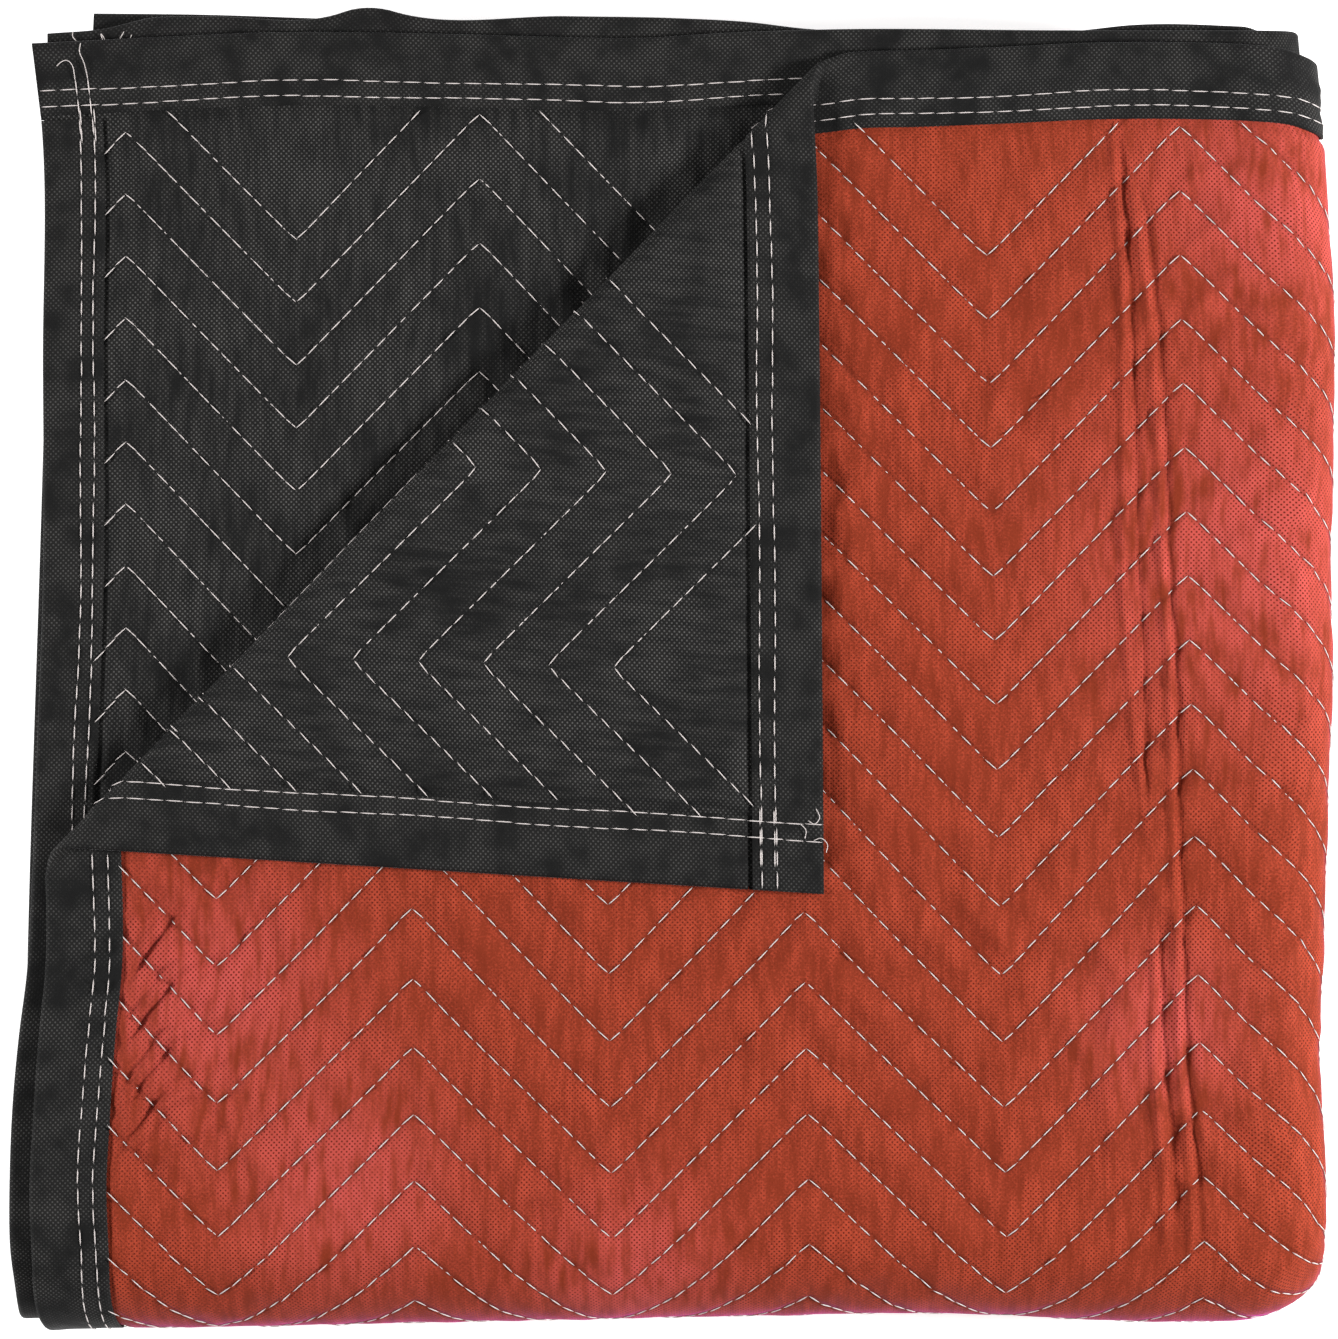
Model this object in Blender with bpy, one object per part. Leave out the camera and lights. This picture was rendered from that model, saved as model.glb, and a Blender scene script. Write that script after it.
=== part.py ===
"""A quilted moving pad, folded in half twice each way, with one corner of its top layer turned back.

The pad is cut flat and bent by four folds. Flat, u runs from the left hem to the right one, v from
the top hem to the bottom one, and depth runs down from the outer (face) side. The folds turn the
right half under, the lower half under, and the same again, so that the four hems meet at the upper
left. All sizes are in metres.
"""

import math

import bmesh
import bpy
import numpy as np

MM = 0.001

# The pad laid flat
WIDTH = 1990 * MM
HEIGHT = 2030 * MM
THICK = 4.0 * MM
CLOTH = 1.85 * MM
LAYER_GAP = 0.7 * MM

# Binding tape, folded over every edge
TAPE = 0.85 * MM
TAPE_WIDTH = 30 * MM
CLEAR = 0.3 * MM
SUNK = TAPE + CLEAR
SHOULDER = 1.2 * MM

# Folds: where the last two start, and how far their rolls bulge sideways for their height
RIGHT_FOLD = 472.5 * MM
BOTTOM_FOLD = 457 * MM
RIGHT_BULGE = 1.6

# The corner turned back: where its crease meets the top and left hems
CREASE_RIGHT = 307.6 * MM
CREASE_DOWN = 316.4 * MM
FLAP_GAP = 1.4 * MM
FLAP_STRETCH = 1.06
FLAP_SKEW = 0.11

# Zigzag quilting
ROW_PITCH = 25.4 * MM
HALF_PERIOD = 76.2 * MM
ZIGZAG = 75 * MM
FIRST_PEAK = 144.3 * MM
FIRST_ROW = 2.6 * MM
# Counted from the first row, the rows whose tips all lie inside the hems
FIRST_SEWN = 3
LAST_SEWN = 79
GROOVE = 1.1 * MM

# Shifts in mm at the start, at each of THIRDS and at the fold, along the hem or fold that they move
THIRDS = (0, 1 / 3, 2 / 3, 1)
TOP_SLIPS = {
    "first": (0, 1, 1, -3),
    "second": (-3, -6.6, -8, -8),
    "third": (-7, -14.8, -8.6, -10),
    "fourth": (-15, -12, -8, -7),
}
LEFT_SLIPS = {
    "first": (0, 0, 0, -4),
    "second": (-4, 1, -3, -12.5),
    "third": (2, 3, -2, -5),
    "fourth": (20, 12, 2, 0),
}
RIGHT_SWAY = (-3, 1.8, -1, -2)
BOTTOM_SWAY = (5.5, 1.6, -1.4, 1)

# How much the bundle's height swells, as a share of it, across and down
RISE_ACROSS = (-0.02, 0.01, 0.015, -0.005)
RISE_DOWN = (-0.01, 0.01, 0.01, -0.01)

# Lines at the tape's inner edge, and how finely the folds' rolls are cut
HEM_LINES = [TAPE_WIDTH + CLEAR, TAPE_WIDTH + CLEAR + SHOULDER]
RIGHT_STEPS = 5
BOTTOM_STEPS = 6
SMALL_STEPS = 3
CREASE_STEPS = 5


def roll_radius(stack):
    return stack + LAYER_GAP / 2


def arc_length(radius, bulge=1.0):
    return math.pi * radius * math.sqrt((bulge * bulge + 1) / 2)


ONE, TWO, FOUR, EIGHT = (n * THICK + (n - 1) * LAYER_GAP for n in (1, 2, 4, 8))
TOTAL = 2 * EIGHT + LAYER_GAP
FIRST_ARC = arc_length(roll_radius(ONE))
SECOND_ARC = arc_length(roll_radius(TWO))
RIGHT_ARC = arc_length(roll_radius(FOUR), RIGHT_BULGE)
BOTTOM_ARC = arc_length(roll_radius(EIGHT))
# Halfway round each outer roll, where it goes out of sight from above
RIGHT_END = RIGHT_FOLD + RIGHT_ARC / 2
BOTTOM_END = BOTTOM_FOLD + BOTTOM_ARC / 2
FIRST_FOLD = (WIDTH - FIRST_ARC) / 2
SECOND_FOLD = (HEIGHT - SECOND_ARC) / 2
FLAP_RADIUS = THICK + FLAP_GAP / 2
FLAP_ARC = math.pi * FLAP_RADIUS


def shifted(table, places, fold):
    """The table's shift at each place, running straight between thirds of the way to the fold."""
    return np.interp(places, [share * fold for share in THIRDS], table) * MM


def slipped(table, places, fold, arc, last):
    """The same for a free hem: past the fold's roll the shift dies away towards the last fold."""
    return shifted(table, places, fold) * np.interp(places, (fold + arc, last), (1, 0))


def turned_under(along, depth, start, stack, bulge=1.0):
    """Bends what lies past the start down and back under the rest."""
    radius = roll_radius(stack)
    arc = arc_length(radius, bulge)
    past = along - start
    angle = np.clip(past / arc, 0, 1) * math.pi
    inner = radius - depth
    beyond = np.where(past < arc, start + bulge * inner * np.sin(angle), start + arc - past)
    return np.where(past > 0, beyond, along), np.where(past > 0, radius - inner * np.cos(angle), depth)


def crease_distance(x, y):
    """How far past the start of the corner's crease a point of the top layer lies, towards the corner."""
    steepness = math.hypot(1 / CREASE_RIGHT, 1 / CREASE_DOWN)
    return (1 - x / CREASE_RIGHT - y / CREASE_DOWN) / steepness + FLAP_RADIUS


def turned_back(x, y, depth):
    """Rolls the top layer's corner up over its crease, and lays it on the layer."""
    steepness = math.hypot(1 / CREASE_RIGHT, 1 / CREASE_DOWN)
    out_x, out_y = -1 / CREASE_RIGHT / steepness, -1 / CREASE_DOWN / steepness
    past = np.maximum(crease_distance(x, y), 0)
    angle = np.clip(past / FLAP_ARC, 0, 1) * math.pi
    lying = np.maximum(past - FLAP_ARC, 0)
    inner = FLAP_GAP / 2 + depth
    out = inner * np.sin(angle) - lying * FLAP_STRETCH - past
    side = FLAP_SKEW * lying
    return x + out_x * out + out_y * side, y + out_y * out - out_x * side, inner * np.cos(angle) - FLAP_GAP / 2


def folded(flat):
    """Where the flat points (u, v, depth) lie in the folded bundle, before it is centred."""
    u, v, depth = flat.T
    x, down = turned_under(u, depth, FIRST_FOLD, ONE)
    y, down = turned_under(v, down, SECOND_FOLD, TWO)
    across, along = x, y
    x, down = turned_under(x, down, RIGHT_FOLD, FOUR, RIGHT_BULGE)
    y, down = turned_under(y, down, BOTTOM_FOLD, EIGHT)
    flat_x, flat_y = x, y
    for layer, own in layers_of(u, v).items():
        slip = slipped(TOP_SLIPS[layer], across, RIGHT_FOLD, RIGHT_ARC, FIRST_FOLD)
        y = y + own * slip * np.interp(along, (0, 2 / 3 * BOTTOM_FOLD), (1, 0))
        slip = slipped(LEFT_SLIPS[layer], along, BOTTOM_FOLD, BOTTOM_ARC, SECOND_FOLD)
        x = x + own * slip * np.interp(across, (0, 2 / 3 * RIGHT_FOLD), (1, 0))
    own = layers_of(u, v)["first"] & (u < RIGHT_FOLD) & (v < BOTTOM_FOLD)
    turned = turned_back(x, y, down)
    x, y, down = (np.where(own, new, old) for new, old in zip(turned, (x, y, down)))
    rise = np.interp(x, [share * RIGHT_FOLD for share in THIRDS], RISE_ACROSS)
    rise += np.interp(y, [share * BOTTOM_FOLD for share in THIRDS], RISE_DOWN)
    near_right = np.interp(flat_x, (2 / 3 * RIGHT_FOLD, RIGHT_FOLD), (0, 1))
    near_bottom = np.interp(flat_y, (2 / 3 * BOTTOM_FOLD, BOTTOM_FOLD), (0, 1))
    x = x + shifted(RIGHT_SWAY, flat_y, BOTTOM_FOLD) * near_right
    y = y + shifted(BOTTOM_SWAY, flat_x, RIGHT_FOLD) * near_bottom
    return np.column_stack((x, -y, (TOTAL - down) * (1 + rise)))


def layers_of(u, v):
    """Which points are in each of the four quarters that lie on one another at the upper left."""
    left_half, upper_half = u < WIDTH / 2, v < HEIGHT / 2
    return {
        "first": left_half & upper_half,
        "second": ~left_half & upper_half,
        "third": ~left_half & ~upper_half,
        "fourth": left_half & ~upper_half,
    }


def row_share(u, v):
    """Where a point lies between two stitch rows, from 0 on one to 1 on the next."""
    turn = np.abs((u - FIRST_PEAK) / HALF_PERIOD % 2 - 1)
    rows = (v - FIRST_ROW + ZIGZAG * turn) / ROW_PITCH
    return np.clip(rows, FIRST_SEWN - 0.5, LAST_SEWN + 0.5) % 1


def edge_distance(u, v):
    return np.minimum(np.minimum(u, WIDTH - u), np.minimum(v, HEIGHT - v))


def red_shows(u, v):
    quilted = TAPE_WIDTH + CLEAR + SHOULDER
    inside = (u > quilted) & (v > quilted) & (u < RIGHT_END) & (v < BOTTOM_END)
    return inside & (crease_distance(u, v) < 0)


def black_shows(u, v):
    """The turned back corner, and the second layer's corner that it bares."""
    quilted = TAPE_WIDTH + CLEAR + SHOULDER
    flap = (u < WIDTH / 2) & (crease_distance(u, v) > FLAP_ARC) & (u > quilted)
    bared = (u > WIDTH / 2) & (crease_distance(WIDTH - u, v) > 0) & (WIDTH - u > quilted)
    return (flap | bared) & (v > quilted)


def cut(body, point, direction, takes=None):
    """Splits the body's faces, or those that it takes, along an upright plane."""
    faces = [f for f in body.faces if takes is None or takes(f)]
    edges = {e for f in faces for e in f.edges}
    corners = {c for f in faces for c in f.verts}
    bmesh.ops.bisect_plane(
        body,
        geom=faces + list(edges) + list(corners),
        dist=1e-7,
        plane_co=(*point, 0),
        plane_no=(*direction, 0),
    )


def steps(start, length, count):
    return [start + length * i / count for i in range(count + 1)]


def fold_lines(fold, arc, count, last, last_arc, size):
    """The lines, across u or v, that the pad bends at, and those where a shift changes its run."""
    lines = steps(fold, arc, count) + HEM_LINES
    for share in THIRDS[1:-1]:
        lines += [share * fold, fold + arc + (1 - share) * fold]
    # The second half of the pad meets the same places on its way back
    lines += [size - line for line in lines]
    return lines + steps(last, last_arc, SMALL_STEPS)


def cut_folds(body):
    across = fold_lines(RIGHT_FOLD, RIGHT_ARC, RIGHT_STEPS, FIRST_FOLD, FIRST_ARC, WIDTH)
    down = fold_lines(BOTTOM_FOLD, BOTTOM_ARC, BOTTOM_STEPS, SECOND_FOLD, SECOND_ARC, HEIGHT)
    for line in across:
        cut(body, (line, 0), (1, 0))
    for line in down:
        cut(body, (0, line), (0, 1))

    def in_top_layer(face):
        centre = face.calc_center_median()
        return centre.x < RIGHT_FOLD and centre.y < BOTTOM_FOLD

    for past in steps(0, FLAP_ARC, CREASE_STEPS):
        cut(body, crease_point(past), (1 / CREASE_RIGHT, 1 / CREASE_DOWN), in_top_layer)


def crease_point(past):
    """The point of the top hem's line that lies this far past the start of the crease."""
    steepness = math.hypot(1 / CREASE_RIGHT, 1 / CREASE_DOWN)
    return CREASE_RIGHT * (1 - (past - FLAP_RADIUS) * steepness), 0


def cut_rows(body, level, shows):
    """Splits the face at this level along its stitch rows and halfway between them, where it shows."""

    def taken(face):
        centre = face.calc_center_median()
        return abs(centre.z - level) < 1e-6 and shows(centre.x, centre.y)

    turns = range(math.floor(-FIRST_PEAK / HALF_PERIOD), math.ceil((WIDTH - FIRST_PEAK) / HALF_PERIOD) + 1)
    for turn in turns:
        cut(body, (FIRST_PEAK + turn * HALF_PERIOD, 0), (1, 0), taken)
    for turn in turns:
        start = FIRST_PEAK + turn * HALF_PERIOD

        def in_column(face):
            return start < face.calc_center_median().x < start + HALF_PERIOD and taken(face)

        faces = [f for f in body.faces if in_column(f)]
        if not faces:
            continue
        heights = [c.co.y for f in faces for c in f.verts]
        slope = ZIGZAG / HALF_PERIOD * (1 if turn % 2 == 0 else -1)
        top = FIRST_ROW - ZIGZAG * (turn % 2 == 0)
        first = math.floor((min(heights) - ZIGZAG - FIRST_ROW) / (ROW_PITCH / 2))
        last = math.ceil((max(heights) + ZIGZAG) / (ROW_PITCH / 2))
        for row in range(first, last):
            cut(body, (start, top + row * ROW_PITCH / 2), (-slope, 1), in_column)


def plain_body(corners, length_axis, start, end):
    """A closed body: a section of (across, depth) corners drawn out along u or v."""
    body = bmesh.new()
    rings = []
    for place in (start, end):
        points = [(place, a, d) if length_axis == "u" else (a, place, d) for a, d in corners]
        rings.append([body.verts.new(point) for point in points])
    body.faces.new(rings[0])
    body.faces.new(rings[1][::-1])
    for i, j in zip(range(len(corners)), [*range(1, len(corners)), 0]):
        body.faces.new((rings[0][i], rings[1][i], rings[1][j], rings[0][j]))
    bmesh.ops.recalc_face_normals(body, faces=body.faces)
    return body


def set_flat(body, change):
    """Moves the body's flat points by a function of their u, v and depth."""
    flat = np.array([c.co for c in body.verts], float)
    for corner, point in zip(body.verts, change(flat)):
        corner.co = point


def cloth_body(outer, inner, shows):
    """One of the pad's two sheets, sunk under the tape and drawn in along its stitch rows."""
    sign = 1 if inner > outer else -1
    rim = [TAPE + CLEAR, HEIGHT - TAPE - CLEAR]
    section = [(rim[0], outer), (rim[1], outer), (rim[1], inner), (rim[0], inner)]
    body = plain_body(section, "u", TAPE + CLEAR, WIDTH - TAPE - CLEAR)
    cut_folds(body)
    cut_rows(body, outer, shows)
    bmesh.ops.triangulate(body, faces=body.faces)

    def relief(flat):
        u, v, depth = flat.T
        on_face = np.abs(depth - outer) < 1e-6
        hem = edge_distance(u, v) < TAPE_WIDTH + CLEAR + SHOULDER / 2
        drawn = GROOVE * np.abs(2 * row_share(u, v) - 1) * shows(u, v)
        drawn = drawn * np.where(u < WIDTH / 2, np.interp(u, (RIGHT_FOLD, RIGHT_END), (1, 0)), 1)
        drawn = drawn * np.interp(v, (BOTTOM_FOLD, BOTTOM_END), (1, 0))
        return np.column_stack((u, v, depth + sign * on_face * np.where(hem, SUNK, drawn)))

    set_flat(body, relief)
    return body


def tape_body(axis, near, start, end):
    """A strip folded over the edge, near the start of the axis across it or at its far end."""
    section = [
        (0, 0),
        (TAPE_WIDTH, 0),
        (TAPE_WIDTH, TAPE),
        (TAPE, TAPE),
        (TAPE, THICK - TAPE),
        (TAPE_WIDTH, THICK - TAPE),
        (TAPE_WIDTH, THICK),
        (0, THICK),
    ]
    if not near:
        far = HEIGHT if axis == "u" else WIDTH
        section = [(far - across, depth) for across, depth in section]
    body = plain_body(section, axis, start, end)
    cut_folds(body)
    bmesh.ops.triangulate(body, faces=body.faces)
    return body


def fabric(name, colour, roughness):
    material = bpy.data.materials.new(name)
    shader = material.node_tree.nodes["Principled BSDF"] if material.use_nodes else None
    if shader is None:
        material.use_nodes = True
        shader = material.node_tree.nodes["Principled BSDF"]
    shader.inputs["Base Color"].default_value = (*colour, 1)
    shader.inputs["Roughness"].default_value = roughness
    shader.inputs["Metallic"].default_value = 0
    return material


def placed(name, body, material):
    """Folds the flat body and adds it to the scene."""
    set_flat(body, folded)
    mesh = bpy.data.meshes.new(name)
    body.to_mesh(mesh)
    body.free()
    mesh.materials.append(material)
    mesh.shade_smooth()
    mesh.set_sharp_from_angle(angle=math.radians(35))
    thing = bpy.data.objects.new(name, mesh)
    bpy.context.scene.collection.objects.link(thing)
    return thing


def main():
    for thing in list(bpy.data.objects):
        bpy.data.objects.remove(thing)
    red = fabric("red nonwoven", (0.33, 0.045, 0.025), 0.85)
    black = fabric("black nonwoven", (0.020, 0.020, 0.022), 0.9)
    tape = fabric("black tape", (0.014, 0.014, 0.015), 0.9)
    inset = TAPE_WIDTH + CLEAR
    things = [
        placed("face_cloth", cloth_body(0, CLOTH, red_shows), red),
        placed("back_cloth", cloth_body(THICK, THICK - CLOTH, black_shows), black),
        placed("binding_top", tape_body("u", True, 0, WIDTH), tape),
        placed("binding_bottom", tape_body("u", False, 0, WIDTH), tape),
        placed("binding_left", tape_body("v", True, inset, HEIGHT - inset), tape),
        placed("binding_right", tape_body("v", False, inset, HEIGHT - inset), tape),
    ]
    points = np.array([c.co for thing in things for c in thing.data.vertices])
    middle = (points.min(axis=0) + points.max(axis=0)) / 2
    for thing in things:
        for corner in thing.data.vertices:
            corner.co.x -= middle[0]
            corner.co.y -= middle[1]


main()
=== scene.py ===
import math

import bpy
import numpy as np
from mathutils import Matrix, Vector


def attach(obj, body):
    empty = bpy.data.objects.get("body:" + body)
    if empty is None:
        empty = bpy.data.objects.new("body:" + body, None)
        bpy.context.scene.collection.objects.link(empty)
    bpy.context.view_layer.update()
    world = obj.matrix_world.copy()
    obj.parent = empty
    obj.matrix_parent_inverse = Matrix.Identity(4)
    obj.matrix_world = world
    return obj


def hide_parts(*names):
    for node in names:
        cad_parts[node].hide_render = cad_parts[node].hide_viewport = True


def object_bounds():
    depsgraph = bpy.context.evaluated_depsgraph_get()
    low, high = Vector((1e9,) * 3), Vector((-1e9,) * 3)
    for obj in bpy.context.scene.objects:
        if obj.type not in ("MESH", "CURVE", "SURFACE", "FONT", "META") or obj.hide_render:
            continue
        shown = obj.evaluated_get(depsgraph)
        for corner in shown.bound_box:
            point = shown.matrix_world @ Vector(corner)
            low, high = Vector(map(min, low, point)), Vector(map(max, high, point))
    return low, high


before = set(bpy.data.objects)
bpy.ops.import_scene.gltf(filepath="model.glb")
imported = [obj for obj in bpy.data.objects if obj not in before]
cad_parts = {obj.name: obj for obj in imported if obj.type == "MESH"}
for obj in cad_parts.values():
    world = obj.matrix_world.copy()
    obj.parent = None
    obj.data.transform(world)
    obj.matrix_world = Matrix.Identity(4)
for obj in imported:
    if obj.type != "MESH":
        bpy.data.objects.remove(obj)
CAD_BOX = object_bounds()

bl_info = {
    "name": "Folded moving pad",
    "version": (1, 0, 0),
    "blender": (4, 5, 0),
    "location": "View3D > Sidebar > Pad",
    "description": "Makes the cloths, tape and sewing of a quilted moving pad, folded with one corner turned back",
    "category": "Add Mesh",
}

MM = 0.001

# The pad laid flat: u from the left hem, v from the top hem, depth down from the face side
WIDTH = 1990 * MM
HEIGHT = 2030 * MM
THICK = 4.0 * MM
LAYER_GAP = 0.7 * MM
TAPE = 0.85 * MM
TAPE_WIDTH = 30 * MM
CLEAR = 0.3 * MM
SUNK = TAPE + CLEAR

# Folds
RIGHT_FOLD = 472.5 * MM
BOTTOM_FOLD = 457 * MM
RIGHT_BULGE = 1.6
CREASE_RIGHT = 307.6 * MM
CREASE_DOWN = 316.4 * MM
FLAP_GAP = 1.4 * MM
FLAP_STRETCH = 1.06
FLAP_SKEW = 0.11

# Zigzag quilting
ROW_PITCH = 25.4 * MM
HALF_PERIOD = 76.2 * MM
ZIGZAG = 75 * MM
FIRST_PEAK = 144.3 * MM
FIRST_ROW = 2.6 * MM
TIP_SHARPNESS = 0.998
# The rows whose tips all lie inside the hems
FIRST_SEWN = 3
LAST_SEWN = 79

# The two rows that sew the tape down, from the hem's edge; the right hem's lie nearer to its edge
TAPE_ROWS = (19 * MM, 25 * MM)
RIGHT_TAPE_ROWS = (14.8 * MM, 19.8 * MM)

# How far each strip of tape reaches on the back side; on the face side all reach the whole width
BACK_TAPE = {"binding_top": 28.5 * MM, "binding_left": 26.5 * MM, "binding_right": 23.8 * MM, "binding_bottom": 30 * MM}

# Where each layer's hem along the top lies: (across, down) in mm, against the top layer's plain one
TOP_HEMS = {
    "first": (
        (0, 0), (250, 1.5), (306, 2.3), (317, 0.8), (342, 0), (373, -1.2), (416, -3.1),
        (452, -3.1), (474, -2.3), (487, -1), (497, 1.5), (511, 4), (560, -2), (650, -3),
    ),
    "second": (
        (0, -3), (51, -5.5), (85, -7), (160, -6.6), (198, -5.5), (234, -5), (268, -7),
        (301, -8.2), (400, -8), (520, -8),
    ),
    "third": (
        (0, -7), (23, -9), (40, -13), (62, -13.7), (112, -14), (121, -16.6), (133, -16.4),
        (139, -14.8), (205, -13.7), (248, -12.9), (277, -11.3), (296, -9), (366, -8.2),
        (389, -7), (400, -7.4), (432, -10.5), (464, -10.1), (480, -9), (490, -7),
    ),
    "fourth": (
        (0, -15), (39, -14.6), (112, -12.5), (205, -12), (296, -8), (400, -6.5), (480, -6.5),
    ),
}

# Where each layer's hem along the left lies: (down, across) in mm
LEFT_HEMS = {
    "first": ((0, 0), (300, 1), (361, 1.2), (375, -0.4), (415, -3.5), (438, -4.7), (461, -3.9), (487, -3), (515, 1)),
    "second": (
        (0, -4), (25, -0.8), (126, 0.4), (208, 0.4), (264, -1.6), (324, -3.9), (358, -5.9),
        (381, -9), (404, -11.3), (432, -12.6), (461, -12.5), (481, -10.9), (515, -9.5),
    ),
    "third": ((0, 2), (152, 3), (305, -2), (457, -5)),
    "fourth": ((0, 20), (152, 12), (305, 2), (457, 0)),
}
SLIP_REACH = 310 * MM

# How the right and bottom folds wander: (along, outward) in mm
RIGHT_SWAY = (
    (0, -3.5), (20, -2.1), (40, -0.2), (60, 1), (83, 2.6), (156, 2.8), (200, 1.6), (243, 2.6),
    (294, 0.6), (352, -1), (398, -2.4), (424, -0.6), (478, -1.7), (492, -4),
)
BOTTOM_SWAY = (
    (3, 6.7), (30, 5.8), (87, 4.8), (156, 3.4), (224, 2), (293, 0.6), (327, 0), (373, 0.4),
    (407, 2.2), (442, 3.4), (475, 2.6), (500, 0.6),
)
SWAY_REACH = 160 * MM

# How much the bundle's height swells across and down, as a share of it
RISE_ACROSS = ((0, -0.02), (157.5, 0.01), (315, 0.015), (472.5, -0.005))
RISE_DOWN = ((0, -0.01), (152.3, 0.01), (304.7, 0.01), (457, -0.01))

# How far the sewn rows lie from their even run on the bared layer: (across, down, more of it for each mm down)
BARED_ROWS = ((33, 4.9, -0.0505), (99, -3.4, -0.034), (171, -3.3, -0.011), (300, -3, 0))
# How far the zigzag's tips lie from their even run there: (across, across)
BARED_TIPS = ((0, 22), (33, 15.9), (99, 6.4), (171, 1.7), (300, 0))
# The same on the lower half of the top layer: (across, down)
LOWER_ROWS = ((0, -3), (68, -2.9), (144, 2.7), (221, 1), (300, 5), (380, 2), (457, 1), (520, 0))

# Creases in the top layer: ((down, across), ...) in mm, then their half width and their height
CREASES = (
    (((20, 418), (156, 420), (253, 423), (324, 434), (390, 436), (465, 439)), 1.5, 1.5),
    (((50, 424), (156, 433), (253, 438), (324, 442), (390, 446), (466, 449)), 1.5, 1.5),
    (((40, 421), (110, 423), (200, 427), (300, 431), (380, 440), (450, 443)), 1.3, -1.3),
    (((60, 429), (156, 436.5), (253, 441), (324, 445), (390, 449.5), (450, 452)), 1.3, -1.2),
    (((58, 362), (200, 370), (330, 372), (440, 378)), 5.0, 0.5),
    (((361, 52), (400, 54), (438, 55)), 3.5, 0.8),
    (((30, 309), (180, 310), (320, 312)), 3.0, 0.6),
    (((30, 319), (180, 318), (320, 321)), 2.5, 0.4),
    (((330, 210), (400, 214), (470, 217)), 6.0, 0.4),
    (((60, 486), (250, 488), (440, 484)), 3.5, 0.6),
)

# Painted sheen: patches where the side lights make the face cloth look paler and pinker, painted into its colour:
# (across, down, radius) in mm
PAINTED_SHEEN = ((65, 365, 45), (470, 200, 60), (485, 60, 50), (440, 380, 30), (230, 480, 35), (120, 440, 40))


def curve_through(table, places):
    """A smooth curve through the table's (place, value) rows in mm, flat beyond its ends."""
    at, value = (np.array(column) * MM for column in zip(*table))
    slope = np.gradient(value, at)
    row = np.clip(np.searchsorted(at, places) - 1, 0, len(at) - 2)
    span = at[row + 1] - at[row]
    share = np.clip((places - at[row]) / span, 0, 1)
    rest = 1 - share
    ends = value[row] * rest * rest * (1 + 2 * share) + value[row + 1] * share * share * (1 + 2 * rest)
    return ends + span * share * rest * (slope[row] * rest - slope[row + 1] * share)


def soft_step(value, start, end):
    share = np.clip((value - start) / (end - start), 0, 1)
    return share * share * (3 - 2 * share)


def roll_radius(stack):
    return stack + LAYER_GAP / 2


def arc_length(radius, bulge=1.0):
    return math.pi * radius * math.sqrt((bulge * bulge + 1) / 2)


ONE, TWO, FOUR, EIGHT = (n * THICK + (n - 1) * LAYER_GAP for n in (1, 2, 4, 8))
TOTAL = 2 * EIGHT + LAYER_GAP
FIRST_ARC = arc_length(roll_radius(ONE))
SECOND_ARC = arc_length(roll_radius(TWO))
RIGHT_ARC = arc_length(roll_radius(FOUR), RIGHT_BULGE)
BOTTOM_ARC = arc_length(roll_radius(EIGHT))
FIRST_FOLD = (WIDTH - FIRST_ARC) / 2
SECOND_FOLD = (HEIGHT - SECOND_ARC) / 2
RIGHT_END = RIGHT_FOLD + RIGHT_ARC
BOTTOM_END = BOTTOM_FOLD + BOTTOM_ARC
FLAP_RADIUS = THICK + FLAP_GAP / 2
FLAP_ARC = math.pi * FLAP_RADIUS
CREASE_STEEPNESS = math.hypot(1 / CREASE_RIGHT, 1 / CREASE_DOWN)

# The frame's box is centred: its left side is the second layer's hem, its far side the third's
LEFT_REACH = -12.5 * MM
TOP_REACH = 14.8 * MM
MIDDLE_X = LEFT_REACH - CAD_BOX[0][0]
MIDDLE_Y = TOP_REACH - CAD_BOX[1][1]


def turned_under(along, depth, start, stack, bulge=1.0):
    """Bends what lies past the start down and back under the rest."""
    radius = roll_radius(stack)
    arc = arc_length(radius, bulge)
    past = along - start
    angle = np.clip(past / arc, 0, 1) * math.pi
    inner = radius - depth
    beyond = np.where(past < arc, start + bulge * inner * np.sin(angle), start + arc - past)
    return np.where(past > 0, beyond, along), np.where(past > 0, radius - inner * np.cos(angle), depth)


def crease_distance(x, y):
    """How far past the start of the corner's crease a point of the top layer lies, towards the corner."""
    return (1 - x / CREASE_RIGHT - y / CREASE_DOWN) / CREASE_STEEPNESS + FLAP_RADIUS


def turned_back(x, y, depth):
    """Rolls the top layer's corner up over its crease, and lays it on the layer."""
    out_x, out_y = -1 / CREASE_RIGHT / CREASE_STEEPNESS, -1 / CREASE_DOWN / CREASE_STEEPNESS
    past = np.maximum(crease_distance(x, y), 0)
    angle = np.clip(past / FLAP_ARC, 0, 1) * math.pi
    lying = np.maximum(past - FLAP_ARC, 0)
    inner = FLAP_GAP / 2 + depth
    out = inner * np.sin(angle) - lying * FLAP_STRETCH - past
    side = FLAP_SKEW * lying
    # The corner stands a little off the layer near its crease, and less towards the hems
    loft = sizes().loft * soft_step(past, 0, FLAP_ARC) * (1 - soft_step(lying, 5 * MM, 70 * MM))
    loft = loft * soft_step(np.minimum(x, y), 0, 60 * MM)
    down = inner * np.cos(angle) - FLAP_GAP / 2 - loft
    return x + out_x * out + out_y * side, y + out_y * out - out_x * side, down


def layers_of(u, v):
    """Which points are in each of the four quarters that lie on one another at the upper left."""
    left_half, upper_half = u < WIDTH / 2, v < HEIGHT / 2
    return {
        "first": left_half & upper_half,
        "second": ~left_half & upper_half,
        "third": ~left_half & ~upper_half,
        "fourth": left_half & ~upper_half,
    }


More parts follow.
